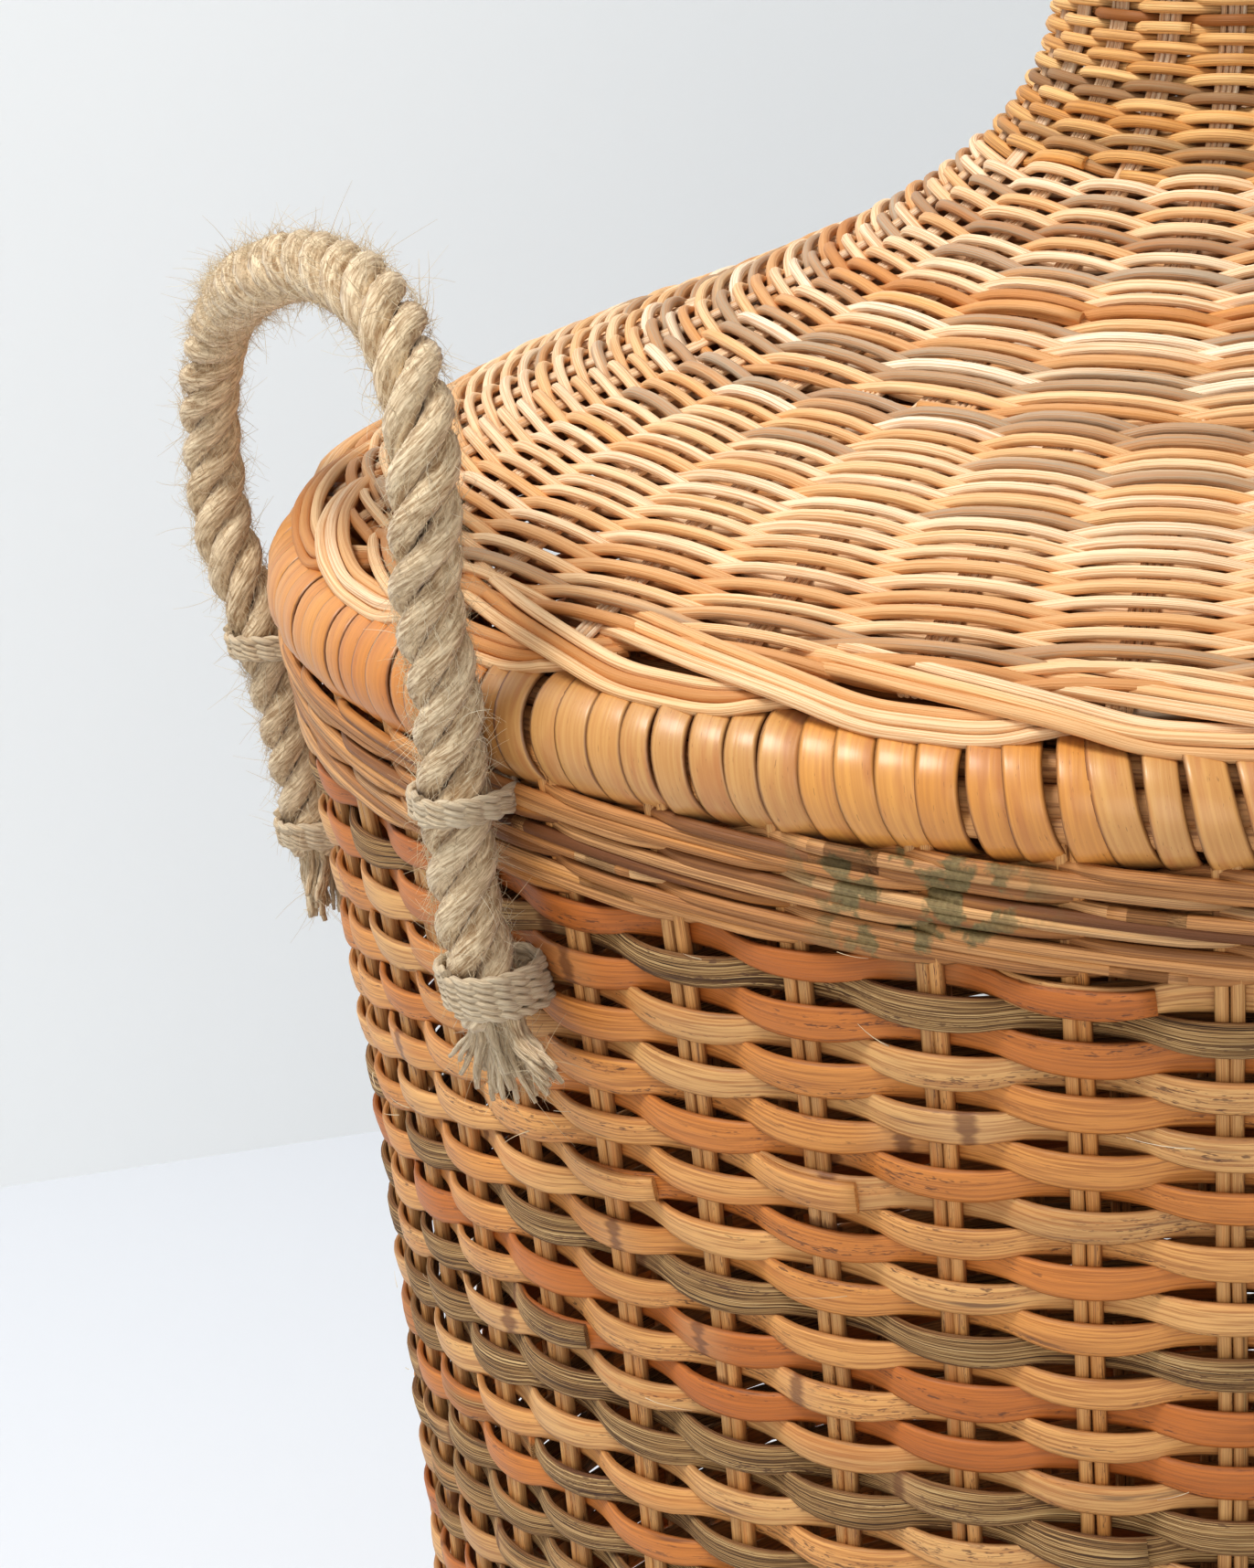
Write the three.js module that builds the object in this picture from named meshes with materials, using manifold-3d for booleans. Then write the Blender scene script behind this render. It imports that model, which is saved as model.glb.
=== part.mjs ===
// A round woven rattan laundry basket with a wrapped rim, a bell-shaped lift-off lid and rope handles.
// Millimetres, +Z up. The origin is the middle of the underside; the handles stand on -X and +X.

import * as THREE from "three";
import Module from "manifold-3d";
import { mergeVertices } from "three/addons/utils/BufferGeometryUtils.js";

const wasm = await Module();
wasm.setup();

// Driving dimensions.
const RIM_HEIGHT = 488.5; // height of the middle of the rim tube
const RIM_RADIUS = 238.5; // radius of the middle of the rim tube
const RIM_TUBE = 11.5; // radius of the wrapped rim's section
const FOOT_RADIUS = 214; // the radius that the wall narrows towards
const FLARE = 37; // how much wider the wall is at the rim
const FLARE_LENGTH = 200; // how quickly the flare dies away below the rim
const WALL = 7; // thickness of the weave, stakes included
const GAP = 0.3; // between neighbouring pieces
const AROUND = 40; // facets in every round piece
const ROPE = 8.1; // radius of the handle rope
const TWINE = 2.6; // thickness of a lashing

// Heights of the joins between the courses of the wall.
const BASE_TOP = 15;
const LOWER_WALE_TOP = 32;
const COURSE_JOINS = [LOWER_WALE_TOP, 172, 314, 453];

// The lid's outline, as radius and height above the middle of the rim.
const LID_OUTLINE = [
  [243, 17], [199, 40.5], [145, 60.5], [100.5, 80.5], [74.5, 100.5], [63, 120.5],
  [60.5, 138], [65, 157], [72.5, 175], [67, 192], [42, 203], [0, 207],
];
const LID_WALL = 6;

const COLOURS = {
  splint: [0xb9793f, 0.62],
  core: [0xd9b184, 0.6],
  wale: [0xa9794c, 0.65],
  peel: [0xd9a257, 0.35],
  hoop: [0xc79a66, 0.7],
  rope: [0xb7a283, 0.95],
  twine: [0xcbb592, 0.95],
};

const basket = new THREE.Group();

function addPiece(parent, name, geometry, colour) {
  const [color, roughness] = COLOURS[colour];
  const piece = new THREE.Mesh(geometry, new THREE.MeshStandardMaterial({ color, roughness, metalness: 0 }));
  piece.name = name;
  parent.add(piece);
  return piece;
}

// A piece turned about the Z axis from an outline of [radius, height] points.
function turned(outline, onAxis = false) {
  const points = outline.map(([radius, height]) => new THREE.Vector2(radius, height));
  if (THREE.ShapeUtils.isClockWise(points)) {
    points.reverse();
  }
  if (!onAxis) {
    points.push(points[0].clone());
  }
  const geometry = new THREE.LatheGeometry(points, AROUND);
  geometry.rotateX(Math.PI / 2);
  return geometry;
}

// A round or flattened section, as an outline of [radius, height] points.
function roundSection(radius, height, halfWidth, halfHeight, sides) {
  const outline = [];
  for (let i = 0; i < sides; i += 1) {
    const angle = ((i + 0.5) / sides) * 2 * Math.PI;
    outline.push([radius + halfWidth * Math.cos(angle), height + halfHeight * Math.sin(angle)]);
  }
  return outline;
}

function wallRadius(height) {
  return FOOT_RADIUS + FLARE * Math.exp(-(RIM_HEIGHT - height) / FLARE_LENGTH);
}

// One course of the wall: a ring of weave between two heights that follows the flare.
function wallCourse(from, to, thickness, steps) {
  const outer = [];
  const inner = [];
  for (let i = 0; i <= steps; i += 1) {
    const height = from + ((to - from) * i) / steps;
    outer.push([wallRadius(height), height]);
    inner.unshift([wallRadius(height) - thickness, height]);
  }
  return turned([...outer, ...inner]);
}

function addBase() {
  const edge = wallRadius(0);
  const border = [
    [edge - 15, 0], [edge - 2, 0], [edge + 2, 4], [edge + 2, BASE_TOP - 4 - GAP],
    [edge - 1, BASE_TOP - GAP], [edge - 15, BASE_TOP - GAP],
  ];
  addPiece(basket, "foot_border", turned(border), "wale");
  const disc = edge - 15 - GAP;
  addPiece(basket, "base_weave", turned([[0, 6], [disc, 6], [disc, 13], [0, 13]], true), "splint");
}

function addWall() {
  addPiece(basket, "lower_waling", wallCourse(BASE_TOP, LOWER_WALE_TOP - GAP, WALL + 1, 1), "wale");
  const names = ["wall_course_lower", "wall_course_middle", "wall_course_upper"];
  names.forEach((name, i) => {
    addPiece(basket, name, wallCourse(COURSE_JOINS[i], COURSE_JOINS[i + 1] - GAP, WALL, 3), "splint");
  });
  const top = RIM_HEIGHT - RIM_TUBE - GAP;
  addPiece(basket, "upper_waling", wallCourse(COURSE_JOINS[3], top, WALL + 1, 1), "wale");
}

// The rim: two hoops side by side, bound round with peel that is open underneath, where the stakes enter.
function addRim() {
  const peel = 1.8;
  const slot = 0.7;
  const steps = 8;
  const outer = [];
  const inner = [];
  for (let i = 0; i <= steps; i += 1) {
    const angle = -Math.PI / 2 + slot + ((2 * Math.PI - 2 * slot) * i) / steps;
    outer.push([RIM_RADIUS + RIM_TUBE * Math.cos(angle), RIM_HEIGHT + RIM_TUBE * Math.sin(angle)]);
    const bore = RIM_TUBE - peel;
    inner.unshift([RIM_RADIUS + bore * Math.cos(angle), RIM_HEIGHT + bore * Math.sin(angle)]);
  }
  addPiece(basket, "rim_wrap", turned([...outer, ...inner]), "peel");
  const hoop = 4.2;
  for (const [name, side] of [["rim_hoop_outer", 1], ["rim_hoop_inner", -1]]) {
    const radius = RIM_RADIUS + side * (hoop + GAP);
    addPiece(basket, name, turned(roundSection(radius, RIM_HEIGHT, hoop, hoop, 6)), "hoop");
  }
}

// A shell that follows the lid's outline from one share of its length to another.
function lidShell(from, to, steps) {
  const flat = LID_OUTLINE.map(([radius, height]) => new THREE.Vector3(radius, height, 0));
  const outline = new THREE.CatmullRomCurve3(flat);
  const outer = [];
  const inner = [];
  for (let i = 0; i <= steps; i += 1) {
    const share = from + ((to - from) * i) / steps;
    const point = outline.getPointAt(share);
    const along = outline.getTangentAt(share);
    outer.push([point.x, RIM_HEIGHT + point.y]);
    inner.unshift([Math.max(point.x - along.y * LID_WALL, 0), RIM_HEIGHT + point.y + along.x * LID_WALL]);
  }
  return [outer, inner];
}

function addLid() {
  const lid = new THREE.Group();
  basket.add(lid);
  const low = RIM_HEIGHT + RIM_TUBE + GAP;
  const border = [[230, low], [241, low], [244, low + 2.4], [241, low + 4.8], [230, low + 4.8]];
  addPiece(lid, "lid_border", turned(border), "core");
  const collar = [
    [213, RIM_HEIGHT - 9], [223, RIM_HEIGHT - 9], [225.6, RIM_HEIGHT - 5],
    [225.6, RIM_HEIGHT + 6], [223, low + 6], [213, low + 6],
  ];
  addPiece(lid, "lid_collar", turned(collar), "wale");
  const joins = [0.037, 0.28, 0.515, 0.67, 0.78];
  const names = ["lid_crown_outer", "lid_crown_inner", "lid_neck", "lid_knob_flare"];
  const join = 0.0004;
  names.forEach((name, i) => {
    const [outer, inner] = lidShell(joins[i] + join, joins[i + 1] - join, i < 2 ? 4 : 3);
    addPiece(lid, name, turned([...outer, ...inner]), "core");
  });
  const [outer, inner] = lidShell(joins[4] + join, 1, 5);
  outer[outer.length - 1][0] = 0;
  inner[0][0] = 0;
  addPiece(lid, "lid_knob_cap", turned([...inner, ...outer], true), "core");
}

// A rope or cord of round section along a route.
function ropeAlong(route, steps, sides) {
  const section = new THREE.Shape();
  for (let i = 0; i < sides; i += 1) {
    const angle = (i / sides) * 2 * Math.PI;
    const place = [ROPE * Math.cos(angle), ROPE * Math.sin(angle)];
    if (i === 0) {
      section.moveTo(...place);
    } else {
      section.lineTo(...place);
    }
  }
  const extrudePath = new THREE.CatmullRomCurve3(route);
  return new THREE.ExtrudeGeometry(section, { steps, extrudePath, bevelEnabled: false });
}

function toSolid(geometry) {
  const bare = geometry.clone();
  bare.deleteAttribute("normal");
  bare.deleteAttribute("uv");
  const merged = mergeVertices(bare, 1e-4);
  const mesh = new wasm.Mesh({
    numProp: 3,
    vertProperties: new Float32Array(merged.attributes.position.array),
    triVerts: new Uint32Array(merged.index.array),
  });
  return new wasm.Manifold(mesh);
}

function toGeometry(solid) {
  const mesh = solid.getMesh();
  const geometry = new THREE.BufferGeometry();
  geometry.setAttribute("position", new THREE.BufferAttribute(mesh.vertProperties, 3));
  geometry.setIndex(new THREE.BufferAttribute(mesh.triVerts, 1));
  geometry.computeVertexNormals();
  return geometry;
}

// The route of the left handle above the rim, as [outward, sideways, up] from the middle of the rim.
// It bows outwards in the middle, so that the lid lifts straight up past it.
const LOOP_ROUTE = [
  [237.4, -105, 0], [238.5, -105.5, 13], [241.4, -106.8, 31], [241, -108.6, 50], [240.6, -104.5, 68.4],
  [242.6, -86, 85.5], [249.5, -52.3, 90.6], [255.3, -10.5, 82.1], [252.9, 30.5, 71.5], [246.7, 66.4, 65.3],
  [246.9, 94.4, 51.8], [247.8, 108.5, 35.1], [247, 113.3, 17.5], [246, 112, 0],
];
// The two legs, from just under the loop's ends down to the frayed ends, in the same terms.
const NEAR_LEG = [[237.2, -104.8, -8.6], [236.6, -104.2, -16], [235.2, -103.8, -38], [230.4, -104.6, -62]];
const FAR_LEG = [[244, 109.5, -8.6], [239.7, 106.1, -22], [236.1, 105, -37.4], [226.4, 109.8, -86]];
// Each lashing's place on its leg, as a share of the leg's route, and its width.
const NEAR_TIES = [[0.1, 7.6], [0.86, 12]];
const FAR_TIES = [[0.27, 8], [0.93, 9]];

function routePoint([out, side, up]) {
  return new THREE.Vector3(-out, side, RIM_HEIGHT + up);
}

function handleLoop() {
  const route = LOOP_ROUTE.map(routePoint);
  let solid = toSolid(ropeAlong(route, 34, 10));
  for (const end of [route[0], route[route.length - 1]]) {
    const ball = new THREE.SphereGeometry(ROPE, 10, 8);
    ball.rotateX(Math.PI / 2);
    ball.translate(end.x, end.y, end.z);
    solid = solid.add(toSolid(ball));
  }
  return toGeometry(solid);
}

// Axes at a place on a leg: Z runs up the leg and X points away from the basket.
function legAxes(curve, share) {
  const place = curve.getPointAt(share);
  const up = curve.getTangentAt(share).negate();
  const away = new THREE.Vector3(place.x, place.y, 0).normalize();
  const side = new THREE.Vector3().crossVectors(up, away).normalize();
  away.crossVectors(side, up);
  return new THREE.Matrix4().makeBasis(away, side, up).setPosition(place);
}

// A lashing: turns of twine round the leg, open on the side where they pass through the wall.
function lashing(curve, share, width) {
  const inner = ROPE + GAP;
  const outer = inner + TWINE;
  const reach = 2.1;
  const section = new THREE.Shape();
  section.absarc(0, 0, outer, -reach, reach, false);
  section.absarc(0, 0, inner, reach, -reach, true);
  const geometry = new THREE.ExtrudeGeometry(section, { depth: width, bevelEnabled: false, curveSegments: 12 });
  geometry.translate(0, 0, -width / 2);
  geometry.applyMatrix4(legAxes(curve, share));
  return geometry;
}

// The frayed end below the lower lashing, flattened against the wall.
function frayedEnd(curve, length) {
  const geometry = new THREE.CylinderGeometry(ROPE, ROPE * 1.55, length, 12);
  geometry.rotateX(Math.PI / 2);
  geometry.scale(0.68, 1.25, 1);
  geometry.translate(1.2, 0, -length / 2 - GAP);
  geometry.applyMatrix4(legAxes(curve, 1));
  return geometry;
}

function addHandle(side, turn) {
  const handle = new THREE.Group();
  handle.rotation.z = turn;
  basket.add(handle);
  addPiece(handle, `rope_loop_${side}`, handleLoop(), "rope");
  const legs = [["near", NEAR_LEG, NEAR_TIES, 22], ["far", FAR_LEG, FAR_TIES, 22]];
  for (const [place, route, ties, length] of legs) {
    const points = route.map(routePoint);
    const curve = new THREE.CatmullRomCurve3(points);
    addPiece(handle, `rope_leg_${side}_${place}`, ropeAlong(points, 9, 10), "rope");
    ties.forEach(([share, width], i) => {
      const level = i === 0 ? "upper" : "lower";
      addPiece(handle, `lashing_${side}_${place}_${level}`, lashing(curve, share, width), "twine");
    });
    addPiece(handle, `frayed_end_${side}_${place}`, frayedEnd(curve, length), "rope");
  }
}

addBase();
addWall();
addRim();
addLid();
addHandle("left", 0);
addHandle("right", Math.PI);

export default basket;
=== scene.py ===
"""Looks for a round woven rattan laundry basket with a wrapped rim, a lift-off lid and rope handles.

Every strand is real swept geometry, woven over and under its stakes. A strand is worked out in
millimetres, and scaled to metres when its mesh is made. The stage, lamps, camera and the place of the
mould are in metres. An azimuth of 0 points to -Y.
"""

import math

import bpy
import numpy as np
from mathutils import Matrix, Vector


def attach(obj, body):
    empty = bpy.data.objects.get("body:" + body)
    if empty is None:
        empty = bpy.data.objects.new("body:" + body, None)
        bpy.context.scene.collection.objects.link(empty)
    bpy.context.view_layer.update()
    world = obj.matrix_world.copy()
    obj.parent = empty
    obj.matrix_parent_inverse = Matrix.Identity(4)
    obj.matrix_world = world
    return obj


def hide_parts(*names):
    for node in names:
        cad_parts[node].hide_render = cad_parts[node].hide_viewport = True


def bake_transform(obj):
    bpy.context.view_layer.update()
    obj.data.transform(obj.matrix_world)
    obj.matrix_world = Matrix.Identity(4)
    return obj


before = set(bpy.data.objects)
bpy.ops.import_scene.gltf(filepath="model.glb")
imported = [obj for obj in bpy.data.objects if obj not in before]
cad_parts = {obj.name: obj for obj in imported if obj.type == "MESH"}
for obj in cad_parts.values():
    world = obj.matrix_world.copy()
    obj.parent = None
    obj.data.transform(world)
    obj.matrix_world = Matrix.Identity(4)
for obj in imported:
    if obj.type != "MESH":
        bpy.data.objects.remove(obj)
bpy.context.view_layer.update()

MM = 0.001
TURN = 2 * math.pi
UP = np.array([0, 0, 1.0])

# Driving dimensions, as in the CAD.
RIM_HEIGHT = 488.5
RIM_RADIUS = 238.5
RIM_TUBE = 11.5
FOOT_RADIUS = 214
FLARE = 37
FLARE_LENGTH = 200
WALL = 7
BASE_TOP = 15
COURSE_JOINS = [32, 172, 314, 453]
ROPE_RADIUS = 8.1
LID_OUTLINE = [
    [243, 17], [199, 40.5], [145, 60.5], [100.5, 80.5], [74.5, 100.5], [63, 120.5],
    [60.5, 138], [65, 157], [72.5, 175], [67, 192], [42, 203], [0, 207],
]
LOOP_ROUTE = [
    [237.4, -105, 0], [238.5, -105.5, 13], [241.4, -106.8, 31], [241, -108.6, 50], [240.6, -104.5, 68.4],
    [242.6, -86, 85.5], [249.5, -52.3, 90.6], [255.3, -10.5, 82.1], [252.9, 30.5, 71.5],
    [246.7, 66.4, 65.3], [246.9, 94.4, 51.8], [247.8, 108.5, 35.1], [247, 113.3, 17.5], [246, 112, 0],
]
NEAR_LEG = [[237.2, -104.8, -8.6], [236.6, -104.2, -16], [235.2, -103.8, -38], [230.4, -104.6, -62]]
FAR_LEG = [[244, 109.5, -8.6], [239.7, 106.1, -22], [236.1, 105, -37.4], [226.4, 109.8, -86]]

# The wall's weave.
STAKES = 51
STAKE_AZIMUTH = math.radians(-41.5)
ROW = 6.26
FRONT_ARC_HEIGHT = 457.7
SPLINT_WIDTH = 8.3
SPLINT_THICKNESS = 1.8
WEAVE_DEPTH = 2.45
SPLINTERS = 260
UPPER_BANDS = (8.4, 16.2, 24)
UPPER_BAND = 11.5

MOULD_PLACE = (-0.166, -0.187, 0.471)

# The rim's binding. A hoop is (shift outwards, rise, radius).
RIM_STRIPS = 180
STRIP_LEAN = 1.9
STRIP_HALF_WIDTH = 4.25
HOOPS = ((4.5, 0, 4.2), (-4.5, 0, 4.2), (0, 6.5, 3.6), (7.6, -3.8, 2.8), (-7.6, -3.8, 2.8))

# The lid's weave.
CORE = 1.5
CORE_STEP = 2.37
NECK_STEP = 2.15
LID_DEPTH = 2.5
OUTER_COLUMNS = 35
OUTER_AZIMUTH = math.radians(-43)
INNER_COLUMNS = 23
INNER_AZIMUTH = math.radians(-57)
SPOKE_DEPTH = 3.9
RIB_GAP = 1.45
SCALLOPS = 27
FIRST_SCALLOP = math.radians(-61.8)
BORDER_SECTION = [[241.8, 13.2], [239, 14.9], [234, 17.8], [226.5, 21.8], [212, 29.4]]

# The rope handles. A lashing is (its place along the leg, its width, its turns).
ROPE_LAY = 32
STRAND_SHIFT = 4.3
STRAND_RADIUS = 3.6
FUZZ_FIBRES = 5600
LASHINGS = {
    "near": (NEAR_LEG, [(0.1, 7.6, 4), (0.86, 12, 6)]),
    "far": (FAR_LEG, [(0.27, 8, 4), (0.93, 9, 5)]),
}
TASSEL_YARNS = 44
TASSEL_SPREAD = math.radians(72)


# ---- curves and swept strands


def smooth_route(points, steps=12):
    """A centripetal Catmull-Rom curve through the points."""
    points = np.asarray(points, float)
    padded = np.vstack([2 * points[0] - points[1], points, 2 * points[-1] - points[-2]])
    share = np.linspace(0, 1, steps, endpoint=False)[:, None]
    made = []
    for before, start, end, after in zip(padded, padded[1:], padded[2:], padded[3:]):
        gap_a = max(np.linalg.norm(start - before) ** 0.5, 1e-4)
        gap_b = max(np.linalg.norm(end - start) ** 0.5, 1e-4)
        gap_c = max(np.linalg.norm(after - end) ** 0.5, 1e-4)
        leave = (start - before) / gap_a - (end - before) / (gap_a + gap_b) + (end - start) / gap_b
        arrive = (end - start) / gap_b - (after - start) / (gap_b + gap_c) + (after - end) / gap_c
        leave, arrive = leave * gap_b, arrive * gap_b
        square = -3 * start + 3 * end - 2 * leave - arrive
        cube = 2 * start - 2 * end + leave + arrive
        made.append(start + leave * share + square * share**2 + cube * share**3)
    made.append(points[-1:])
    return np.concatenate(made)


def lengths(points):
    """Distance along a polyline at each of its points."""
    return np.concatenate([[0], np.cumsum(np.linalg.norm(np.diff(points, axis=0), axis=1))])


def at_lengths(points, wanted):
    """Points at the wanted distances along a polyline."""
    along = lengths(points)
    return np.stack([np.interp(wanted, along, points[:, i]) for i in range(points.shape[1])], -1)


def unit(vectors):
    return vectors / np.maximum(np.linalg.norm(vectors, axis=-1, keepdims=True), 1e-12)


def ease(share):
    share = np.clip(share, 0, 1)
    return share * share * (3 - 2 * share)


def around(azimuth, radius, height):
    """Points at an azimuth, radius and height."""
    azimuth, radius, height = np.broadcast_arrays(azimuth, radius, height)
    return np.stack([radius * np.sin(azimuth), -radius * np.cos(azimuth), height], -1)


def wobble(rng, x, size, waves=4, longest=9.0):
    """A slow random wave along x, about size high."""
    total = np.zeros_like(x, float)
    for i in range(waves):
        period = longest / (1 + i * 1.3)
        total += np.sin(TURN * (x / period + rng.random())) / (1 + i)
    return total * size * 0.55


def draw_look(rng, tone, kind):
    """A strand's (tone, kind, seed). A pair is a range to draw from, and a number stays as it is."""
    drawn = [rng.uniform(*value) if isinstance(value, tuple) else value for value in (tone, kind)]
    return (*drawn, rng.random())


def draw_near(rng, middle, spread, most):
    """A look with its tone near the middle, and its kind anywhere up to most."""
    return np.clip(rng.normal(middle, spread), 0, 1), rng.uniform(0, most), rng.random()


class Bundle:
    """Swept strands gathered into one mesh, with where each point lies in its strand."""

    def __init__(self):
        self.points = []
        self.quads = []
        self.triangles = []
        self.strand = []
        self.look = []
        self.count = 0

    def add(self, points, quads, triangles, strand, look):
        self.points.append(points)
        self.quads.append(quads + self.count)
        self.triangles.append(triangles + self.count)
        self.strand.append(strand)
        self.look.append(look)
        self.count += len(points)

    def sweep(self, path, outward, wide, thick, look, sides=8, square=1.0, lobes=None, closed=False):
        """Adds one closed strand. look is (tone, kind, seed); lobes is (count, depth, turns per mm)."""
        path = np.asarray(path, float)
        n = len(path)
        if closed:
            along = unit(np.roll(path, -1, 0) - np.roll(path, 1, 0))
        else:
            along = unit(np.gradient(path, axis=0))
        side = unit(np.cross(along, outward))
        up = np.cross(side, along)
        run = lengths(path)
        angle = (np.arange(sides) + 0.5) / sides * TURN
        across = np.sign(np.cos(angle)) * np.abs(np.cos(angle)) ** square
        lift = np.sign(np.sin(angle)) * np.abs(np.sin(angle)) ** square
        across = np.broadcast_to(across, (n, sides))
        lift = np.broadcast_to(lift, (n, sides))
        scale = np.ones((n, sides))
        if lobes:
            number, depth, twist = lobes
            scale = 1 - depth * np.abs(np.sin(number * (angle[None] - TURN * twist * run[:, None]) / 2))
        wide = np.broadcast_to(wide, n)[:, None] * scale
        thick = np.broadcast_to(thick, n)[:, None] * scale
        ring = path[:, None] + side[:, None] * (across * wide)[..., None]
        ring = ring + up[:, None] * (lift * thick)[..., None]
        points = ring.reshape(-1, 3)
        strand = np.stack([np.repeat(run * MM, sides), across.ravel(), lift.ravel()], -1)
        rows = n if closed else n - 1
        i = np.arange(rows)[:, None] * sides
        j = np.arange(sides)[None]
        above = (i + sides) % (n * sides)
        nxt = (j + 1) % sides
        quads = np.stack([i + j, above + j, above + nxt, i + nxt], -1).reshape(-1, 4)
        triangles = np.zeros((0, 3), int)
        if not closed:
            points = np.vstack([points, path[:1], path[-1:]])
            strand = np.vstack([strand, [0, 0, 0], [run[-1] * MM, 0, 0]])
            ends = np.arange(sides)
            after = (ends + 1) % sides
            last = (n - 1) * sides
            start_fan = np.stack([np.full(sides, n * sides), ends, after], -1)
            end_fan = np.stack([np.full(sides, n * sides + 1), last + after, last + ends], -1)
            triangles = np.vstack([start_fan, end_fan])
        self.add(points, quads, triangles, strand, np.tile(np.asarray(look, float), (len(points), 1)))

    def fibres(self, roots, directions, curls, radii, tones, rng, rings=5):
        """Adds many fine fibres at once, each a three-sided closed strand."""
        count = len(roots)
        share = np.linspace(0, 1, rings)[None, :, None]
        path = roots[:, None] + directions[:, None] * share + curls[:, None] * share**2
        along = unit(np.gradient(path, axis=1))
        helper = unit(rng.normal(size=(count, 1, 3)))
        side = unit(np.cross(along, helper))
        up = np.cross(side, along)
        angle = np.arange(3) / 3 * TURN
        thick = (radii[:, None] * np.linspace(1, 0.35, rings)[None])[..., None, None]
        ring = path[:, :, None] + thick * (
            side[:, :, None] * np.cos(angle)[:, None] + up[:, :, None] * np.sin(angle)[:, None]
        )
        first = np.arange(count)[:, None, None] * rings * 3
        i = np.arange(rings - 1)[None, :, None] * 3
        j = np.arange(3)[None, None]
        nxt = (j + 1) % 3
        low = first + i
        quads = np.stack([low + j, low + 3 + j, low + 3 + nxt, low + nxt], -1).reshape(-1, 4)
        tip = first[:, 0, 0] + (rings - 1) * 3
        caps = [np.stack([first[:, 0, 0], first[:, 0, 0] + 1, first[:, 0, 0] + 2], -1)]
        caps.append(np.stack([tip + 2, tip + 1, tip], -1))
        points = ring.reshape(-1, 3)
        strand = np.zeros((len(points), 3))
        look = np.zeros((len(points), 3))
        look[:, 0] = np.repeat(tones, rings * 3)
        self.add(points, quads, np.vstack(caps), strand, look)


def make_piece(name, bundle, material, body=None, nodes=()):
    """Turns a bundle into one mesh object that rides on a body and stands for CAD nodes."""
    points = np.concatenate(bundle.points) * MM
    quads = np.concatenate(bundle.quads)
    triangles = np.concatenate(bundle.triangles)
    mesh = bpy.data.meshes.new(name)
    mesh.vertices.add(len(points))
    mesh.vertices.foreach_set("co", points.astype(np.float32).ravel())
    mesh.loops.add(quads.size + triangles.size)
    corners = np.concatenate([quads.ravel(), triangles.ravel()]).astype(np.int32)
    mesh.loops.foreach_set("vertex_index", corners)
    mesh.polygons.add(len(quads) + len(triangles))
    starts = np.concatenate([np.arange(len(quads)) * 4, quads.size + np.arange(len(triangles)) * 3])
    mesh.polygons.foreach_set("loop_start", starts.astype(np.int32))
    smooth = np.concatenate([np.ones(len(quads), bool), np.zeros(len(triangles), bool)])
    mesh.polygons.foreach_set("use_smooth", smooth)
    for attribute, values in (("strand", bundle.strand), ("look", bundle.look)):
        layer = mesh.attributes.new(attribute, "FLOAT_VECTOR", "POINT")
        layer.data.foreach_set("vector", np.concatenate(values).astype(np.float32).ravel())
    mesh.update(calc_edges=True)
    mesh.validate()
    piece = bpy.data.objects.new(name, mesh)
    bpy.context.scene.collection.objects.link(piece)
    mesh.materials.append(material)
    if body:
        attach(piece, body)
    if nodes:
        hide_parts(*nodes)
    return piece


# ---- materials


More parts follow.
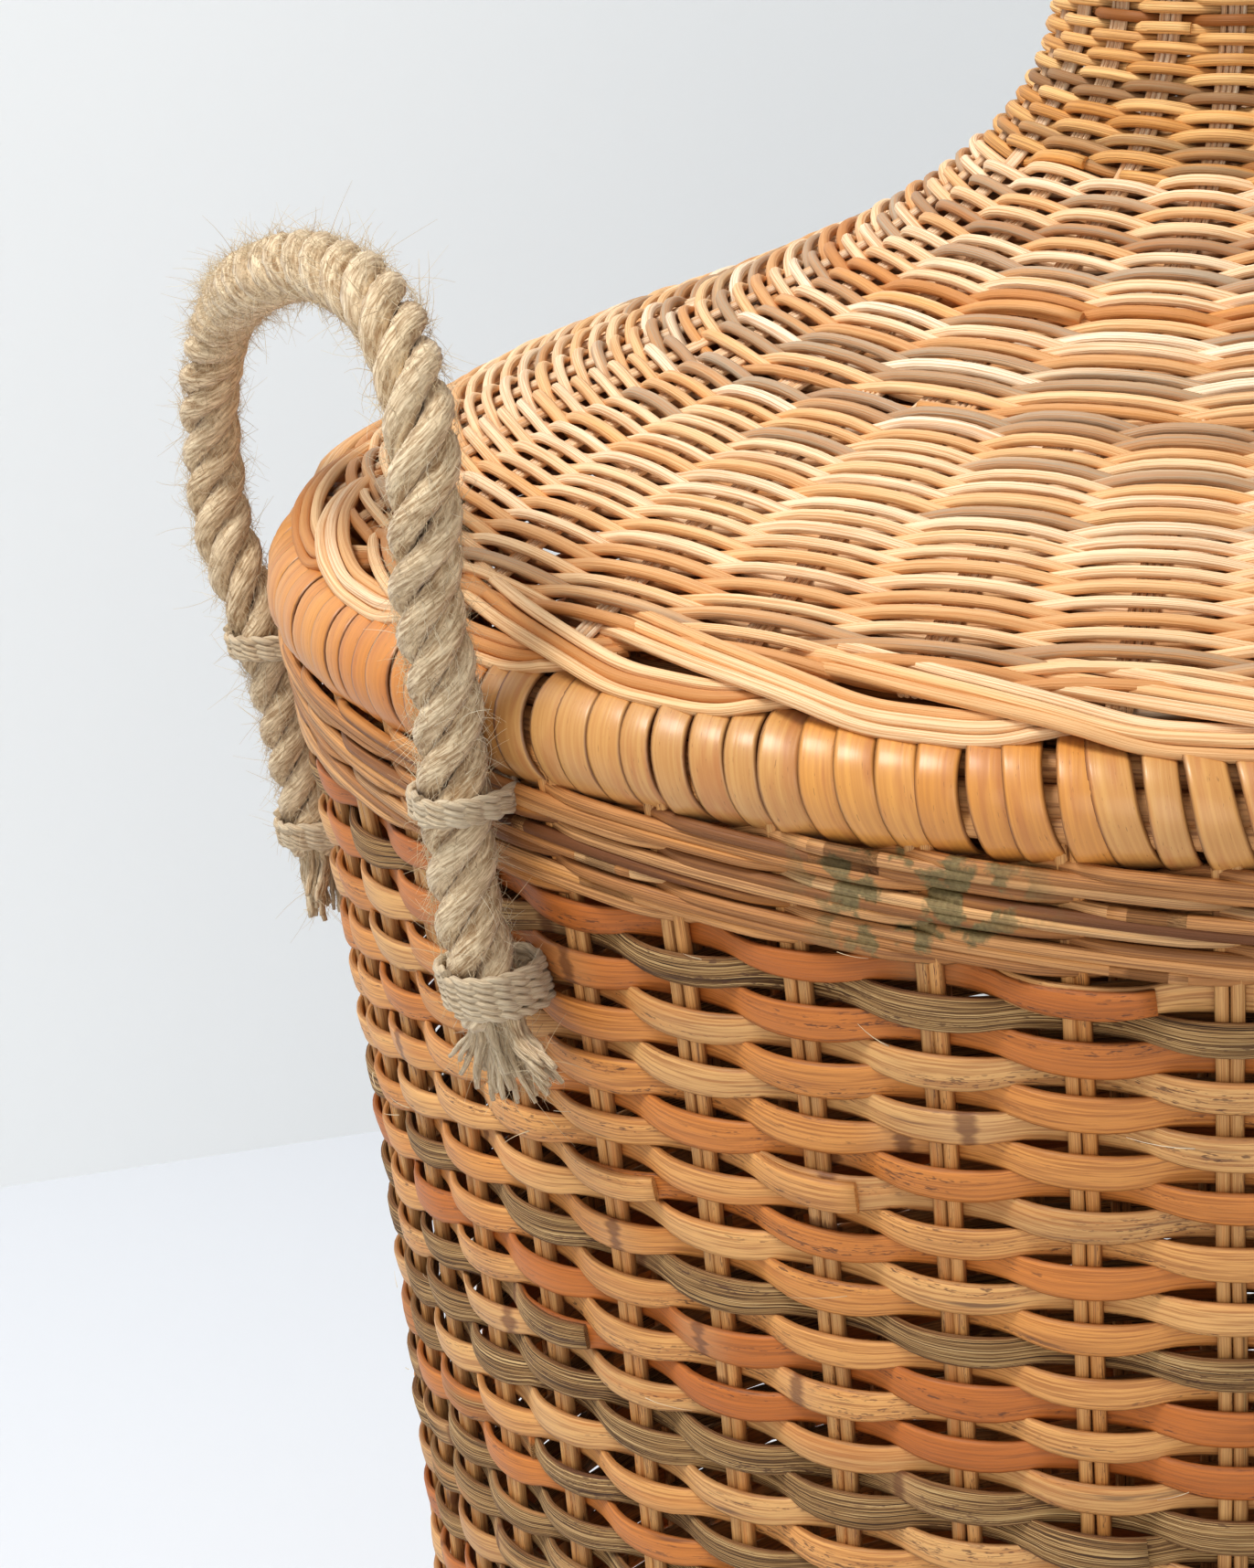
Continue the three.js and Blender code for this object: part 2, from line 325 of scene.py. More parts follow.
class Shader:
    """A material under construction: its nodes, and sums that read like arithmetic."""

    def __init__(self, name):
        self.material = bpy.data.materials.new(name)
        self.material.use_nodes = True
        self.tree = self.material.node_tree
        self.surface = self.tree.nodes["Principled BSDF"]

    def node(self, kind, inputs, out=0, **settings):
        made = self.tree.nodes.new(kind)
        for key, value in settings.items():
            setattr(made, key, value)
        for key, value in inputs.items():
            if isinstance(value, bpy.types.NodeSocket):
                self.tree.links.new(value, made.inputs[key])
            else:
                made.inputs[key].default_value = value
        return made.outputs[out]

    def sum(self, operation, a, b=0.0, c=0.0):
        return self.node("ShaderNodeMath", {0: a, 1: b, 2: c}, operation=operation)

    def times(self, a, b, plus=None):
        """a times b, plus a third value if there is one."""
        if plus is None:
            return self.sum("MULTIPLY", a, b)
        return self.sum("MULTIPLY_ADD", a, b, plus)

    def attribute(self, name):
        vector = self.node("ShaderNodeAttribute", {}, "Vector", attribute_name=name)
        split = self.tree.nodes.new("ShaderNodeSeparateXYZ")
        self.tree.links.new(vector, split.inputs[0])
        return split.outputs[0], split.outputs[1], split.outputs[2]

    def coordinates(self, x, y, z):
        return self.node("ShaderNodeCombineXYZ", {0: x, 1: y, 2: z})

    def noise(self, vector, scale, detail=2.0, rough=0.5):
        inputs = {"Vector": vector, "Scale": scale, "Detail": detail, "Roughness": rough}
        return self.node("ShaderNodeTexNoise", inputs)

    def grain(self, along_scale, across_scale, detail=2.0, rough=0.5):
        """Noise stretched along the strand, different in every strand."""
        along, across, lift = self.attribute("strand")
        seed = self.attribute("look")[2]
        vector = self.coordinates(
            self.times(along, along_scale, self.times(seed, 91.7)),
            self.times(across, across_scale, self.times(seed, 37.1)),
            self.times(lift, across_scale * 0.6),
        )
        return self.noise(vector, 1.0, detail, rough)

    def step(self, value, low, high):
        """0 below low, 1 above high, smooth between."""
        inputs = {"Value": value, "From Min": low, "From Max": high, "To Min": 0.0, "To Max": 1.0}
        return self.node("ShaderNodeMapRange", inputs, interpolation_type="SMOOTHSTEP")

    def ramp(self, value, colours):
        """colours is a list of (position, red, green, blue)."""
        made = self.tree.nodes.new("ShaderNodeValToRGB")
        points = made.color_ramp.elements
        while len(points) < len(colours):
            points.new(0.5)
        for point, (position, *rgb) in zip(points, colours):
            point.position = position
            point.color = (*rgb, 1)
        self.tree.links.new(value, made.inputs[0])
        return made.outputs[0]

    def mix(self, share, a, b):
        """Mixes two colours, each a socket or (red, green, blue)."""
        a, b = ((*paint, 1) if isinstance(paint, tuple) else paint for paint in (a, b))
        return self.node("ShaderNodeMix", {0: share, 6: a, 7: b}, 2, data_type="RGBA")

    def tint(self, colour, mask, strength, paint):
        """Paints over the colour where the mask is, up to a strength."""
        return self.mix(self.times(mask, strength), colour, paint)

    def bump(self, height, distance, strength):
        return self.node("ShaderNodeBump", {"Height": height, "Distance": distance, "Strength": strength})

    def finish(self, colour, roughness, normal=None, specular=0.4, sheen=0.0, coat=0.0):
        for key, value in (("Base Color", colour), ("Roughness", roughness), ("Normal", normal)):
            if isinstance(value, bpy.types.NodeSocket):
                self.tree.links.new(value, self.surface.inputs[key])
        self.surface.inputs["Specular IOR Level"].default_value = specular
        self.surface.inputs["Sheen Weight"].default_value = sheen
        self.surface.inputs["Sheen Roughness"].default_value = 0.5
        self.surface.inputs["Coat Weight"].default_value = coat
        self.surface.inputs["Coat Roughness"].default_value = 0.25
        return self.material


def rgb(red, green, blue):
    """A linear colour from the 0 to 255 values seen on screen."""
    return tuple(((value / 255 + 0.055) / 1.055) ** 2.4 for value in (red, green, blue))


def splint_material():
    """Flat split rattan: warm tans, streaks along the grain, grey bark on some, joints and stains."""
    s = Shader("flat_split_rattan")
    tone, kind, seed = s.attribute("look")
    along, across = s.attribute("strand")[:2]
    colour = s.ramp(tone, [
        (0.0, *rgb(190, 112, 50)), (0.22, *rgb(208, 134, 66)), (0.5, *rgb(218, 154, 86)),
        (0.75, *rgb(230, 180, 118)), (1.0, *rgb(196, 150, 96)),
    ])
    streaks = s.grain(45, 7, 3)
    fine = s.grain(160, 26, 2)
    patches = s.grain(11, 0.7, 2)
    colour = s.mix(s.step(streaks, 0.34, 0.6), s.mix(0.6, colour, rgb(150, 88, 40)), colour)
    colour = s.tint(colour, s.step(fine, 0.5, 0.75), 0.28, rgb(140, 92, 56))
    warm = s.times(s.step(patches, 0.5, 0.72), 0.4)
    colour = s.mix(warm, colour, rgb(210, 132, 64))

    # weathered bark, greyer and grooved
    cover = s.sum("ADD", s.times(patches, 0.7), kind)
    bark = s.step(cover, 0.86, 1.02)
    grooves = s.grain(24, 15, 4, 0.65)
    grey = s.ramp(grooves, [
        (0.36, *rgb(48, 30, 16)), (0.46, *rgb(116, 82, 46)), (0.54, *rgb(176, 138, 88)),
        (0.68, *rgb(222, 190, 138)),
    ])
    colour = s.mix(bark, colour, grey)

    # dark specks and stains
    speck_area = s.step(s.grain(16, 1.1, 1), 0.52, 0.66)
    specks = s.times(s.step(s.grain(330, 6, 2, 0.7), 0.55, 0.64), speck_area)
    colour = s.tint(colour, specks, 0.75, rgb(88, 56, 40))
    stain = s.step(s.grain(19, 0.9, 3, 0.6), 0.64, 0.73)
    colour = s.tint(colour, stain, 0.6, rgb(74, 52, 46))

    # the rings that a cane grows, about every 27 cm
    joint = s.sum("ABSOLUTE", s.sum("SUBTRACT", s.sum("FRACT", s.sum(
        "MULTIPLY_ADD", along, 3.7, s.times(seed, 17.3))), 0.5))
    uneven = s.times(s.grain(0, 2.5, 1), 0.016, joint)
    ring = s.step(uneven, 0.0175, 0.0105)
    near_ring = s.step(uneven, 0.05, 0.012)
    colour = s.tint(colour, near_ring, 0.35, rgb(206, 160, 112))
    colour = s.tint(colour, ring, 0.7, rgb(112, 70, 44))

    # painted shade: both edges of each splint darkened, standing in for the shadow at its edges
    edge = s.step(s.sum("ABSOLUTE", across), 0.84, 1.0)
    colour = s.tint(colour, edge, 0.5, rgb(120, 70, 36))
    height = s.times(fine, 0.25, s.times(streaks, 0.5))
    deep = s.times(s.sum("SUBTRACT", grooves, 0.5), s.times(bark, 1.6, 0.15))
    height = s.sum("ADD", height, deep)
    height = s.times(ring, -0.8, s.sum("ADD", height, near_ring))
    rough = s.times(bark, 0.22, s.times(streaks, 0.25, 0.36))
    return s.finish(colour, rough, s.bump(height, 0.0005, 0.6), 0.42)


def core_material(name, light, mid, dark, grey, mould=None):
    """Round rattan core: fine grooves along it, and now and then a greyer rod.

    mould is a place that has gone green.
    """
    s = Shader(name)
    tone, kind = s.attribute("look")[:2]
    colour = s.ramp(tone, [(0.0, *dark), (0.45, *mid), (1.0, *light)])
    grooves = s.grain(22, 5.0, 3, 0.6)
    fine = s.grain(90, 13, 2)
    patches = s.grain(9, 0.4, 2)
    colour = s.mix(s.step(grooves, 0.38, 0.56), s.mix(0.65, colour, dark), colour)
    colour = s.tint(colour, s.step(fine, 0.52, 0.72), 0.3, dark)
    worn = s.step(s.times(patches, 0.6, kind), 0.95, 1.1)
    grey_streak = s.mix(s.step(grooves, 0.4, 0.6), s.mix(0.5, grey, dark), grey)
    colour = s.tint(colour, worn, 0.85, grey_streak)
    warm = s.times(s.step(patches, 0.54, 0.75), 0.5)
    colour = s.mix(warm, colour, rgb(230, 160, 84))
    height = s.times(fine, 0.3, grooves)
    rough = s.times(grooves, 0.25, 0.42)
    if mould:
        place = s.node("ShaderNodeTexCoord", {}, "Object")
        gap = s.node("ShaderNodeVectorMath", {0: place, 1: mould}, 1, operation="DISTANCE")
        clumps = s.times(s.step(s.noise(place, 150, 4), 0.5, 0.58), s.step(gap, 0.034, 0.014))
        green = s.mix(s.noise(place, 1100, 2), rgb(58, 56, 30), rgb(146, 136, 92))
        colour = s.tint(colour, clumps, 0.8, green)
        height = s.times(clumps, s.noise(place, 1500, 2), height)
    return s.finish(colour, rough, s.bump(height, 0.0004, 0.7), 0.4)


def peel_material():
    """Glossy outer peel: golden, faint streaks along it, and a thin coat."""
    s = Shader("glossy_rattan_peel")
    tone = s.attribute("look")[0]
    across = s.attribute("strand")[1]
    colour = s.ramp(tone, [
        (0.0, *rgb(206, 108, 40)), (0.1, *rgb(202, 130, 60)), (0.4, *rgb(212, 146, 72)),
        (0.75, *rgb(220, 160, 86)), (1.0, *rgb(202, 154, 96)),
    ])
    streaks = s.grain(30, 5, 3)
    blotches = s.grain(40, 1.2, 3)
    fine = s.grain(120, 22, 2)
    colour = s.mix(s.step(streaks, 0.35, 0.7), s.mix(0.35, colour, rgb(176, 112, 60)), colour)
    colour = s.tint(colour, s.step(blotches, 0.52, 0.7), 0.5, rgb(176, 108, 62))
    speck = s.step(s.grain(300, 8, 2, 0.7), 0.66, 0.72)
    colour = s.tint(colour, speck, 0.45, rgb(104, 66, 40))
    # painted shade: both edges of each strip darkened, for the dark slits and shadow lines where the strips
    # overlap
    edge = s.step(s.sum("ABSOLUTE", across), 0.8, 0.98)
    colour = s.tint(colour, edge, 0.75, rgb(96, 56, 28))
    rough = s.times(blotches, 0.3, 0.3)
    height = s.times(fine, 0.2, streaks)
    return s.finish(colour, rough, s.bump(height, 0.0003, 0.3), 0.5, coat=0.25)


def rope_material(name, light, dark):
    """Jute: fine fibres twisted along each yarn, soft and dull."""
    s = Shader(name)
    tone = s.attribute("look")[0]
    fibres = s.grain(260, 5.0, 3, 0.65)
    patches = s.grain(24, 0.8, 2)
    colour = s.mix(s.step(fibres, 0.3, 0.72), dark, light)
    colour = s.tint(colour, tone, 0.6, rgb(226, 212, 186))
    colour = s.tint(colour, s.step(patches, 0.5, 0.8), 0.35, rgb(168, 132, 92))
    rough = s.times(fibres, 0.1, 0.85)
    return s.finish(colour, rough, s.bump(fibres, 0.0006, 0.8), 0.15, sheen=0.25)


def fibre_material():
    """Loose jute fibres, paler than the rope they stand out of."""
    s = Shader("loose_fibres")
    tone = s.attribute("look")[0]
    place = s.node("ShaderNodeTexCoord", {}, "Object")
    varied = s.noise(place, 60, 2)
    colour = s.ramp(tone, [
        (0.0, *rgb(176, 146, 108)), (0.5, *rgb(214, 192, 156)), (1.0, *rgb(238, 226, 200)),
    ])
    colour = s.mix(s.step(varied, 0.4, 0.7), colour, rgb(206, 184, 148))
    rough = s.times(varied, 0.1, 0.7)
    return s.finish(colour, rough, None, 0.3, sheen=0.2)


def stage_material(name, colour, speckle):
    """A painted surface with the faintest unevenness."""
    s = Shader(name)
    place = s.node("ShaderNodeTexCoord", {}, "Object")
    uneven = s.noise(place, 3, 2)
    darker = tuple(value * speckle for value in colour)
    mixed = s.mix(uneven, darker, colour)
    return s.finish(mixed, s.times(uneven, 0.1, 0.75), None, 0.2)


# ---- the wall


def wall_radius(height):
    """The wall's outer surface."""
    return FOOT_RADIUS + FLARE * np.exp(-(RIM_HEIGHT - height) / FLARE_LENGTH)


def wall_outward(azimuth, height):
    slope = FLARE / FLARE_LENGTH * np.exp(-(RIM_HEIGHT - height) / FLARE_LENGTH)
    return unit(around(azimuth, 1.0, -slope))


def over_and_under(x):
    """1 in front of a stake, -1 behind the next, flat over the stake and quick between."""
    plain = np.cos(np.pi * x)
    return 0.55 * plain + 0.45 * np.sin(np.pi / 2 * plain)


def strand_lengths(rng, first, last, shortest, longest, front_share):
    """Cuts a run of x into strands. Each is (from, to, whether its end shows in front)."""
    at = first
    while at < last:
        end = at + rng.integers(shortest, longest)
        shown = rng.random() < front_share
        odd = 2 * math.floor(end / 2) + 1
        stop = odd + 1 + rng.uniform(0.35, 0.62) if shown else odd + rng.uniform(0.3, 0.5)
        yield at, min(stop, last), shown
        at = stop - rng.uniform(1.55, 1.9) if shown else odd - rng.uniform(0.35, 0.5)


def hand_made(azimuth, height):
    """How far the rows wander up and down round the wall."""
    return (
        0.8 * np.sin(3 * azimuth + height / 70)
        + 0.5 * np.sin(7 * azimuth - height / 41)
        + 0.35 * np.sin(13 * azimuth + height / 19)
    )


def weave_wall(bundle, low, high, rng):
    """Flat splints going round in one long spiral, in front of one pair of stakes and behind the next."""
    per_stake = 8
    x_low = STAKES * (low - FRONT_ARC_HEIGHT) / ROW
    x_high = STAKES * (high - FRONT_ARC_HEIGHT) / ROW
    for start, end, shown in strand_lengths(rng, x_low, x_high, 16, 60, 0.25):
        x = np.linspace(start, end, max(int((end - start) * per_stake), 6))
        azimuth = STAKE_AZIMUTH + x * TURN / STAKES
        wave = over_and_under(x)
        settle = wobble(rng, x, 0.35, 4, 13)
        height = FRONT_ARC_HEIGHT + ROW * x / STAKES
        height = height + hand_made(azimuth, height) - 1.1 * wave + settle
        offset = WEAVE_DEPTH * wave + wobble(rng, x, 0.2, 3, 5)
        offset = offset - 1.9 * ease(1 - (x - start) / 0.9)
        if shown:
            offset = offset + 2.0 * ease(1 - (end - x) / 1.3)
        else:
            offset = offset + 0.9 * ease(1 - (end - x) / 0.9)
        width = SPLINT_WIDTH / 2 * rng.uniform(0.82, 1.06) * (0.80 + 0.20 * np.abs(wave))
        width = width * (1 + wobble(rng, x, 0.09, 3, 7))
        thick = SPLINT_THICKNESS / 2 * rng.uniform(0.85, 1.15)
        outward = wall_outward(azimuth, height)
        lean = wobble(rng, x, 0.12, 3, 6) - 0.10 * wave
        outward = unit(outward + np.stack([0 * lean, 0 * lean, lean], -1))
        path = around(azimuth, wall_radius(height) - WALL / 2 + offset, height)
        kind = rng.uniform(0.6, 0.9) if rng.random() < 0.32 else rng.uniform(0, 0.45)
        look = (np.clip(rng.normal(0.5, 0.3), 0, 1), kind, rng.random())
        bundle.sweep(path, outward, width, thick, look, 10, 0.6)


def add_stakes(bundle, rng):
    """Pairs of upright stakes from the foot up into the rim."""
    for i in range(STAKES):
        centre = STAKE_AZIMUTH + i * TURN / STAKES
        for side in (-1, 1):
            height = np.linspace(9, RIM_HEIGHT - 5, 60)
            drift = wobble(rng, height, 0.35, 3, 260) + side * wobble(rng, height, 0.12, 3, 90)
            azimuth = centre + (side * 1.62 + drift) / 240
            radius = wall_radius(height) - WALL / 2 + wobble(rng, height, 0.15, 3, 70)
            path = around(azimuth, radius, height)
            look = draw_look(rng, (0.55, 1.0), (0, 0.5))
            bundle.sweep(path, wall_outward(azimuth, height), 1.5, 1.4, look, 8, 0.7)


def add_waling(bundle, low, high, rods, span, rng, radius=1.5):
    """Rods that each pass in front of several stakes and behind one, in a long slanting twine."""
    band = high - low - 2 * radius
    per_stake = 8
    turning = 0.45  # stakes on each side of a dive in which a rod crosses back to its first height
    for k in range(rods):
        start = k * span / rods
        x = np.arange(0, STAKES * per_stake + 1) / per_stake
        phase = ((x - start) / span) % 1.0
        dive = ease(1 - np.minimum(phase, 1 - phase) * span / 0.85)
        near_end = ease((phase - (1 - turning / span)) * span / turning * 0.5)
        near_start = ease((turning / span - phase) * span / turning * 0.5)
        slope = 0.5 - phase + near_end - near_start
        height = (low + high) / 2 + band * slope + wobble(rng, x, 0.25, 3, 12)
        azimuth = STAKE_AZIMUTH + (x + STAKES // 2 + 0.5) * TURN / STAKES
        offset = 2.4 - 5.6 * dive + wobble(rng, x, 0.5, 3, 7)
        breaks = [0]
        while breaks[-1] < len(x) - 1:
            breaks.append(min(breaks[-1] + int(rng.integers(10, 26) * per_stake), len(x) - 1))
        for a, b in zip(breaks, breaks[1:]):
            part = slice(max(a - 2, 0), b + 3)
            path = around(azimuth[part], wall_radius(height[part]) - WALL / 2 + offset[part], height[part])
            look = draw_near(rng, 0.45, 0.25, 0.75)
            outward = wall_outward(azimuth[part], height[part])
            bundle.sweep(path, outward, radius * 1.04, radius * 0.96, look, 8, 0.9)


# ---- the rim, foot and base


def bind_rim(bundle, rng):
    """Strips of peel wound round the rim, each turn a little different from the next."""
    pitch = TURN / RIM_STRIPS
    under = math.radians(-97)
    left_in_strip = 0
    for i in range(RIM_STRIPS):
        if left_in_strip == 0:
            left_in_strip = int(rng.integers(3, 11))
            tone = float(np.clip(rng.normal(0.5, 0.2), 0.2, 1))
            if rng.random() < 0.04:
                tone = 0.04
                left_in_strip = 2
            seed = rng.random()
            lean_of_strip = rng.normal(0, 0.22)
        left_in_strip -= 1
        angle = np.linspace(under, math.radians(-97 + 360), 40)
        lean = STRIP_LEAN + lean_of_strip + rng.normal(0, 0.2)
        middle = i * pitch + rng.normal(0, 0.07) * pitch
        azimuth = middle - lean * pitch * (angle - math.radians(15)) / TURN
        lift = 0.35 + rng.uniform(-0.25, 0.5) + wobble(rng, angle, 0.2, 3, 3.0)
        radius = RIM_TUBE + lift
        path = around(azimuth, RIM_RADIUS + radius * np.cos(angle), RIM_HEIGHT + radius * np.sin(angle))
        outward = around(azimuth, np.cos(angle), np.sin(angle))
        tilt = rng.normal(0.11, 0.05)
        outward = unit(outward + tilt * np.cross(unit(np.gradient(path, axis=0)), outward))
        width = STRIP_HALF_WIDTH * rng.uniform(0.8, 1.06) * (1 + wobble(rng, angle, 0.05, 2, 4))
        look = (np.clip(tone + rng.normal(0, 0.04), 0, 1), rng.random(), seed + i * 0.013)
        bundle.sweep(path, outward, width, 0.6, look, 10, 0.62)


def add_hoops(bundle, rng):
    """The two hoops and the packing that the strips go round."""
    azimuth = np.linspace(0, TURN, 240, endpoint=False)
    for shift, rise, size in HOOPS:
        path = around(azimuth, RIM_RADIUS + shift, RIM_HEIGHT + rise)
        bundle.sweep(path, around(azimuth, 1.0, 0), size, size, (0.6, 0.2, rng.random()), 12, closed=True)


def plait(bundle, radius, height, strands, spread, size, waves, rng):
    """A thick border of strands laid round each other."""
    turn = np.linspace(0, TURN, waves * 16, endpoint=False)
    for k in range(strands):
        angle = waves * turn + k * TURN / strands
        path = around(turn, radius + spread * np.cos(angle), height + spread * np.sin(angle))
        outward = around(turn, np.cos(angle), np.sin(angle))
        look = draw_look(rng, (0.2, 0.8), (0.0, 0.6))
        bundle.sweep(path, outward, size, size * 0.92, look, 10, closed=True, lobes=(5, 0.16, 0.004))


def weave_disc(bundle, height, inner, outer, columns, pitch, size, depth, rng):
    """A flat disc woven in one spiral over and under an odd number of spokes."""
    per = 6
    count = int((outer - inner) / pitch * columns)
    for start, end, _ in strand_lengths(rng, 0, count, columns * 2, columns * 4, 0.0):
        x = np.arange(start, end, 1 / per)
        azimuth = x * TURN / columns
        radius = inner + pitch * x / columns
        path = around(azimuth, radius, height + depth * over_and_under(x))
        look = draw_near(rng, 0.45, 0.2, 0.5)
        bundle.sweep(path, UP, size, size * 0.8, look, 8)


def add_base(bundle, rng):
    """A crossed middle, then two rings of weave with more spokes in the outer one."""
    edge = float(wall_radius(0)) - 15
    middle = 9.5
    for i in range(6):
        for turned in (False, True):
            across = (i - 2.5) * 5.2
            run = np.linspace(-38, 38, 14)
            level = middle + (2.0 if turned else -2.0) * np.ones_like(run)
            line = np.full_like(run, across)
            path = np.stack([line, run, level] if turned else [run, line, level], -1)
            look = draw_look(rng, (0.3, 0.9), 0.2)
            bundle.sweep(path, UP, 2.3, 1.5, look, 8)
    for count, low, high in ((25, 20, 118), (51, 118, edge - 2)):
        weave_disc(bundle, middle, low, high, count, 4.3, 2.1, 1.5, rng)
        for i in range(count):
            azimuth = i * TURN / count
            radius = np.linspace(low - 4, high + 2, 12)
            path = around(azimuth + 0 * radius, radius, middle)
            look = draw_look(rng, (0.4, 0.9), 0.2)
            bundle.sweep(path, UP, 1.8, 1.3, look, 8)


# ---- the lid

lid_outline = smooth_route(LID_OUTLINE, 24)
lid_length = float(lengths(lid_outline)[-1])


def lid_place(along, inset):
    """Radius, height and the outward direction's two parts, at a distance along the lid's outline."""
    here = at_lengths(lid_outline, along)
    ahead = at_lengths(lid_outline, np.minimum(along + 1.5, lid_length))
    behind = at_lengths(lid_outline, np.maximum(along - 1.5, 0))
    run = unit(ahead - behind)
    out, up = run[:, 1], -run[:, 0]
    return here[:, 0] - out * inset, RIM_HEIGHT + here[:, 1] - up * inset, out, up


def length_at_radius(radius):
    """Distance along the outline where the crown first comes in to a radius."""
    first = int(np.argmax(lid_outline[:, 0] < radius))
    return float(lengths(lid_outline)[first])


def weave_lid(bundle, start, end, columns, azimuth_zero, rng, step=CORE_STEP, depth=LID_DEPTH, fade=None):
    """One long spiral of round core, over one column of spokes and under the next."""
    per = 7
    count = (end - start) / step * columns
    for a, b, shown in strand_lengths(rng, 0, count, columns // 2, columns * 2, 0.1):
        x = np.linspace(a, b, max(int((b - a) * per), 8))
        azimuth = azimuth_zero + x * TURN / columns
        wave = over_and_under(x)
        along = start + step * x / columns + wobble(rng, x, 0.28, 3, 9)
        deep = depth if fade is None else depth * ease((fade[1] - along) / (fade[1] - fade[0]))
        inset = SPOKE_DEPTH - deep * wave - wobble(rng, x, 0.35, 3, 6)
        inset = inset + 1.2 * ease(1 - (x - a) / 0.8)
        if shown:
            inset = inset - 1.6 * ease(1 - (b - x) / 1.2)
        radius, height, out, up = lid_place(np.clip(along, 0, lid_length), inset)
        path = around(azimuth, np.maximum(radius, 1.0), height)
        outward = around(azimuth, out, up)
        kind = rng.uniform(0.7, 0.9) if rng.random() < 0.14 else rng.uniform(0, 0.5)
        look = (np.clip(rng.normal(0.58, 0.32), 0, 1), kind, rng.random())
        size = CORE * rng.uniform(0.86, 1.05)
        bundle.sweep(path, outward, size, size * rng.uniform(0.92, 1.0), look, 8)


def lid_spokes(bundle, start, end, columns, azimuth_zero, rng, ribs=4):
    """Flat groups of thin ribs that the spiral goes round."""
    for i in range(columns):
        for rib in range(ribs):
            along = np.linspace(start, end, max(int((end - start) / 4), 6))
            radius, height, out, up = lid_place(along, SPOKE_DEPTH)
            side = (rib - (ribs - 1) / 2) * RIB_GAP + wobble(rng, along, 0.2, 2, 60)
            azimuth = azimuth_zero + i * TURN / columns + side / np.maximum(radius, 20)
            look = draw_look(rng, (0.6, 1.0), (0, 0.4))
            bundle.sweep(around(azimuth, radius, height), around(azimuth, out, up), 0.72, 0.8, look, 6)


def add_lid_border(bundle, rng):
    """Groups of three rods that slant down over the weave, run along the edge and tuck in again."""
    pitch = TURN / SCALLOPS
    section = smooth_route(BORDER_SECTION, 12)
    for i in range(SCALLOPS):
        t = np.linspace(-1.6, 1.08, 90)
        azimuth = FIRST_SCALLOP + (i - 1.0 + t + rng.normal(0, 0.02)) * pitch
        rise = np.interp(t, [-1.6, -1.1, -0.7, -0.4, -0.15, 0.05, 0.25, 0.68, 0.8, 0.9, 1.0, 1.08],
                         [24, 17.5, 12, 8, 5, 2.6, 0.7, 0.4, 1.6, 4.4, 8.5, 12])
        rise = np.convolve(np.pad(rise, 3, "reflect", reflect_type="odd"), np.ones(7) / 7, "valid")
        layer = np.interp(t, [-1.6, -1.3, -1.0, -0.7, -0.35, -0.05, 0.25, 0.6, 0.8, 0.92, 1.08],
                          [-7.0, -4.2, 0.6, 2.2, 3.4, 3.2, 1.0, 0.5, 0.6, -0.6, -3.6])
        layer = np.convolve(np.pad(layer, 3, "edge"), np.ones(7) / 7, "valid")
        for k in (-1, 0, 1):
            fan = 2.9 + 0.6 * ease(-t)
            place = at_lengths(section, np.maximum(rise + k * fan, 0))
            below = np.minimum(rise + k * fan, 0)
            ahead = at_lengths(section, np.maximum(rise + k * fan, 0) + 1.5)
            run = unit(ahead - place)
            out, up = run[:, 1], -run[:, 0]
            lift = layer + rng.normal(0, 0.2)
            radius = place[:, 0] + out * lift - below * 0.45
            height = RIM_HEIGHT + place[:, 1] + up * lift + below * 0.9
            look = draw_near(rng, 0.36, 0.22, 0.7)
            shift = rng.normal(0, 0.012) * pitch
            path = around(azimuth + shift, radius, height)
            bundle.sweep(path, around(azimuth, out, up), CORE, CORE, look, 8)


def add_lid_collar(bundle, rng):
    """The ring under the lid that sits inside the rim."""
    for row in range(8):
        height = RIM_HEIGHT - 7.5 + row * 3.0
        radius = 222.3 if row < 6 else 221
        turn = np.linspace(0, TURN, OUTER_COLUMNS * 12, endpoint=False)
        wave = np.cos(OUTER_COLUMNS * turn + np.pi * (row % 2))
        path = around(turn, radius - 1.6 + 1.6 * wave, height)
        look = draw_look(rng, (0.3, 0.9), (0, 0.5))
        bundle.sweep(path, around(turn, 1.0, 0), CORE, CORE, look, 8, closed=True)
    posts = OUTER_COLUMNS * 2
    for i in range(posts):
        azimuth = OUTER_AZIMUTH + i * TURN / posts
        height = np.linspace(RIM_HEIGHT - 8.8, RIM_HEIGHT + 17, 8)
        path = around(azimuth + 0 * height, 218.4, height)
        look = draw_look(rng, (0.3, 0.9), 0.2)
        bundle.sweep(path, around(azimuth + 0 * height, 1.0, 0), 1.5, 1.5, look, 8)


# ---- the rope handles

rope_route = smooth_route([*FAR_LEG[::-1], *LOOP_ROUTE[::-1], *NEAR_LEG], 16)


def handle_points(route, turn):
    """Turns [outward, sideways, up] points into places for the left (turn 1) or right (-1) handle."""
    out, side, up = np.asarray(route, float).T
    return np.stack([-turn * out, turn * side, RIM_HEIGHT + up], -1)


def rope_frame(path, turn):
    along = unit(np.gradient(path, axis=0))
    out = np.tile([-turn * 1.0, 0, 0], (len(path), 1))
    side = unit(np.cross(along, out))
    return along, side, np.cross(side, along)


